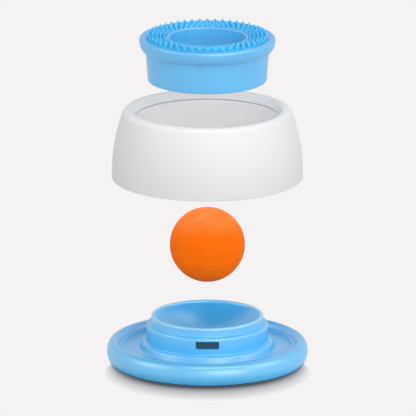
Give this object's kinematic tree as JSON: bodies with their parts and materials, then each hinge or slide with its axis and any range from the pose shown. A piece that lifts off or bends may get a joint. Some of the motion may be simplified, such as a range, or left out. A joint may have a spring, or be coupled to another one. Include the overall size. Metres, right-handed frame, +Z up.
{
  "type": "pet lick bowl",
  "caption": "Round pet lick bowl lifted apart along its axis: stepped base with a food cup, rolling ball, domed white shell and a plug-in lick ring with soft nubs; slides close it up.",
  "frame": {"origin": "centre of the underside of the base, on the surface it stands on", "axes": "+Z up along the axis on which the pieces lift apart, -Y towards the front latch window"},
  "size_m": [0.15, 0.15, 0.2531],
  "materials": {
    "blue_base": "satin moulded",
    "foot_rubber": "matt",
    "orange_ball": "fine matt",
    "white_shell": "fine matt",
    "soft_ring": "silky silicone",
    "soft_nubs": "silky silicone"
  },
  "bodies": {
    "base": {"base": "blue_base", "foot_ring": "foot_rubber"},
    "ball": {"ball_upper_half": "orange_ball", "ball_lower_half": "orange_ball"},
    "shell": {"shell": "white_shell"},
    "ring": {"lick_ring": "soft_ring", "lick_nubs": "soft_nubs"}
  },
  "joints": [
    {"name": "shell_lift", "type": "slide", "parent": "base", "child": "shell", "axis": [0, 0, 1], "range_m": [-0.125, 0]},
    {"name": "ring_lift", "type": "slide", "parent": "shell", "child": "ring", "axis": [0, 0, 1], "range_m": [-0.0617, 0]},
    {"name": "ball_lift", "type": "slide", "parent": "base", "child": "ball", "axis": [0, 0, 1], "range_m": [-0.0407, 0]}
  ]
}
